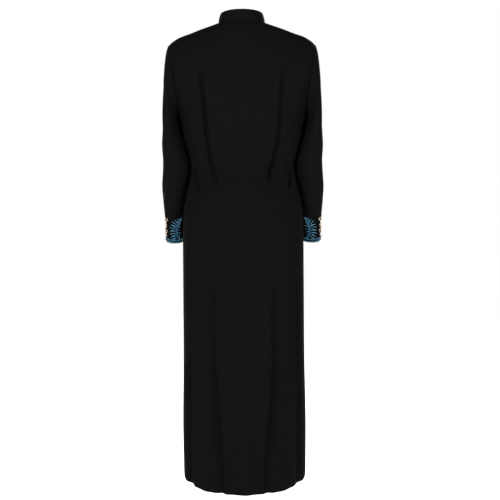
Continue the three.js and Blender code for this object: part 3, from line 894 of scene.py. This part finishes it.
def boundary_line(obj, keep):
    """The longest open edge of a cloth piece, as points in order, where keep says that a point belongs.

    Which of its ends comes first can change from run to run.
    """
    bm = bmesh.new()
    bm.from_mesh(obj.data)
    edges = {e for e in bm.edges if e.is_boundary and all(keep(v.co) for v in e.verts)}
    lines = []
    while edges:
        first = edges.pop()
        chain = [first.verts[0], first.verts[1]]
        for end in (0, -1):
            while True:
                tip = chain[end]
                following = next((e for e in tip.link_edges if e in edges), None)
                if following is None:
                    break
                edges.discard(following)
                other = following.other_vert(tip)
                chain.insert(0, other) if end == 0 else chain.append(other)
        lines.append([v.co.copy() for v in chain])
    bm.free()
    return max(lines, key=len)


def stitch_row(bm, obj, line, inset):
    """A row of topstitches beside an edge, on the cloth nearest to a point up to inset away from it."""
    tree = tree_of(obj)
    points = np.array(line)
    lengths = np.concatenate([[0], np.cumsum(np.linalg.norm(np.diff(points, axis=0), axis=1))])
    pitch, width = sizes().stitch, sizes().stitch_width
    at = pitch
    while at < lengths[-1] - pitch:
        here = Vector([np.interp(at, lengths, points[:, i]) for i in range(3)])
        ahead = Vector([np.interp(at + pitch * 0.4, lengths, points[:, i]) for i in range(3)])
        along = (ahead - here).normalized()
        _, normal, _, _ = tree.find_nearest(here)
        inwards = normal.cross(along).normalized()
        probe = here + inwards * inset
        found, facing, _, distance = tree.find_nearest(probe)
        if distance > inset * 0.5:
            probe = here - inwards * inset
            found, facing, _, distance = tree.find_nearest(probe)
        sideways = facing.cross(along).normalized()
        turn = Matrix((along, sideways, facing)).transposed().to_4x4()
        size = Matrix.Diagonal((pitch * 0.36, width * 0.5, width * 0.42, 1))
        bmesh.ops.create_icosphere(
            bm, subdivisions=1, radius=1.0, matrix=Matrix.Translation(found + facing * width * 0.12) @ turn @ size
        )
        at += pitch


class ABAYA_OT_stitching(bpy.types.Operator):
    """Topstitch the collar, the front edge and the hem"""

    bl_idname = "abaya.stitching"
    bl_label = "Topstitching"

    def execute(self, context):
        rows = [
            ("collar_cloth", "collar_stitching", 0.0028, lambda p: p.z > -0.052 and self.on_collar_top(p)),
            ("front_right_cloth", "front_stitching", 0.006, lambda p: 0.010 < p.x and p.z > -1.36),
            ("back_cloth", "back_hem_stitching", 0.022, lambda p: p.z < -1.345),
            ("front_left_cloth", "front_left_hem_stitching", 0.022, lambda p: p.z < -1.345),
            ("front_right_cloth", "front_right_hem_stitching", 0.022, lambda p: p.z < -1.345),
        ]
        for cloth, name, inset, keep in rows:
            obj = bpy.data.objects[cloth]
            bm = bmesh.new()
            stitch_row(bm, obj, boundary_line(obj, keep), inset)
            mesh = bpy.data.meshes.new(name)
            bm.to_mesh(mesh)
            bm.free()
            mesh.materials.append(sewing_thread())
            mesh.polygons.foreach_set("use_smooth", np.ones(len(mesh.polygons), bool))
            made = bpy.data.objects.new(name, mesh)
            context.scene.collection.objects.link(made)
            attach(made, BODY)
        return {"FINISHED"}

    @staticmethod
    def on_collar_top(point):
        """Whether an edge point of the collar is on its top edge and not on its seam or ends."""
        side = 0.024 - 0.075 * max(0.0, min(1.0, (-point.y + 0.004) / 0.075)) ** 1.3
        return point.z > side - 0.012


# ---------------------------------------------------------------- stage


class ABAYA_OT_stage(bpy.types.Operator):
    """Set the pale floor, the soft lights and the camera"""

    bl_idname = "abaya.stage"
    bl_label = "Stage"

    FLOOR = -1.47
    CAMERA = Vector((-0.0202, 3.1, -0.6845))
    LENS = 74.15
    ROLL = -0.4  # degrees
    ROOM_LIGHT = 0.16
    LIGHTS = (
        # name, place, aimed at, size, power
        ("key", (1.9, 3.0, 1.3), (0, 0, -0.65), 0.7, 120),
        ("fill", (-2.0, 3.0, 0.5), (0, 0, -0.8), 0.8, 74),
        ("front key", (-1.9, -3.0, 1.1), (0, 0, -0.65), 0.7, 110),
        ("front fill", (2.0, -3.0, 0.4), (0, 0, -0.8), 0.8, 70),
    )

    def execute(self, context):
        scene = context.scene
        bm = bmesh.new()
        level = Matrix.Translation((0, 0, self.FLOOR))
        bmesh.ops.create_circle(bm, cap_ends=True, segments=96, radius=9.0, matrix=level)
        mesh = bpy.data.meshes.new("floor")
        bm.to_mesh(mesh)
        bm.free()
        mesh.materials.append(material("Pale floor", floor_material))
        floor = bpy.data.objects.new("floor", mesh)
        scene.collection.objects.link(floor)

        world = bpy.data.worlds.new("Studio")
        scene.world = world
        world.use_nodes = True
        nodes, links = world.node_tree.nodes, world.node_tree.links
        background = nodes["Background"]
        background.inputs["Color"].default_value = (1.0, 1.0, 1.0, 1)
        seen = nodes.new("ShaderNodeLightPath").outputs["Is Camera Ray"]
        strength = nodes.new("ShaderNodeMapRange")
        strength.inputs["To Min"].default_value = self.ROOM_LIGHT
        strength.inputs["To Max"].default_value = 1.0
        links.new(seen, strength.inputs["Value"])
        links.new(strength.outputs["Result"], background.inputs["Strength"])

        for name, place, aim, size, power in self.LIGHTS:
            light = bpy.data.lights.new(name, "AREA")
            light.shape = "DISK"
            light.size = size
            light.energy = power
            lamp = bpy.data.objects.new(name, light)
            lamp.location = place
            lamp.rotation_euler = (Vector(aim) - Vector(place)).to_track_quat("-Z", "Y").to_euler()
            scene.collection.objects.link(lamp)

        camera = bpy.data.cameras.new("camera")
        camera.lens = self.LENS
        camera.sensor_width = 36
        camera.clip_end = 60
        eye = bpy.data.objects.new("camera", camera)
        facing = Matrix.Rotation(math.pi, 4, "Z") @ Matrix.Rotation(math.pi / 2, 4, "X")
        roll = Matrix.Rotation(math.radians(self.ROLL), 4, "Z")
        eye.matrix_world = Matrix.Translation(self.CAMERA) @ facing @ roll
        scene.collection.objects.link(eye)
        scene.camera = eye
        scene.view_settings.view_transform = "Standard"
        scene.view_settings.look = "None"
        return {"FINISHED"}


class ABAYA_PT_panel(bpy.types.Panel):
    """Lists the abaya's pieces and settings"""

    bl_idname = "ABAYA_PT_panel"
    bl_label = "Abaya"
    bl_space_type = "VIEW_3D"
    bl_region_type = "UI"
    bl_category = "Abaya"

    def draw(self, context):
        for operator in MAKERS:
            self.layout.operator(operator.bl_idname)
        for settings in (context.scene.abaya_sizes, context.scene.abaya_colours):
            for key in settings.__annotations__:
                self.layout.prop(settings, key)


MAKERS = (
    ABAYA_OT_back,
    ABAYA_OT_fronts,
    ABAYA_OT_collar,
    ABAYA_OT_sleeves,
    ABAYA_OT_cuffs,
    ABAYA_OT_embroidery,
    ABAYA_OT_stitching,
    ABAYA_OT_stage,
)
CLASSES = (AbayaSizes, AbayaColours) + MAKERS + (ABAYA_PT_panel,)


def register():
    for item in CLASSES:
        bpy.utils.register_class(item)
    bpy.types.Scene.abaya_sizes = PointerProperty(type=AbayaSizes)
    bpy.types.Scene.abaya_colours = PointerProperty(type=AbayaColours)


def unregister():
    del bpy.types.Scene.abaya_colours
    del bpy.types.Scene.abaya_sizes
    for item in reversed(CLASSES):
        bpy.utils.unregister_class(item)


def main():
    register()
    for operator in MAKERS:
        group, name = operator.bl_idname.split(".")
        getattr(getattr(bpy.ops, group), name)()


if __name__ == "__main__":
    main()
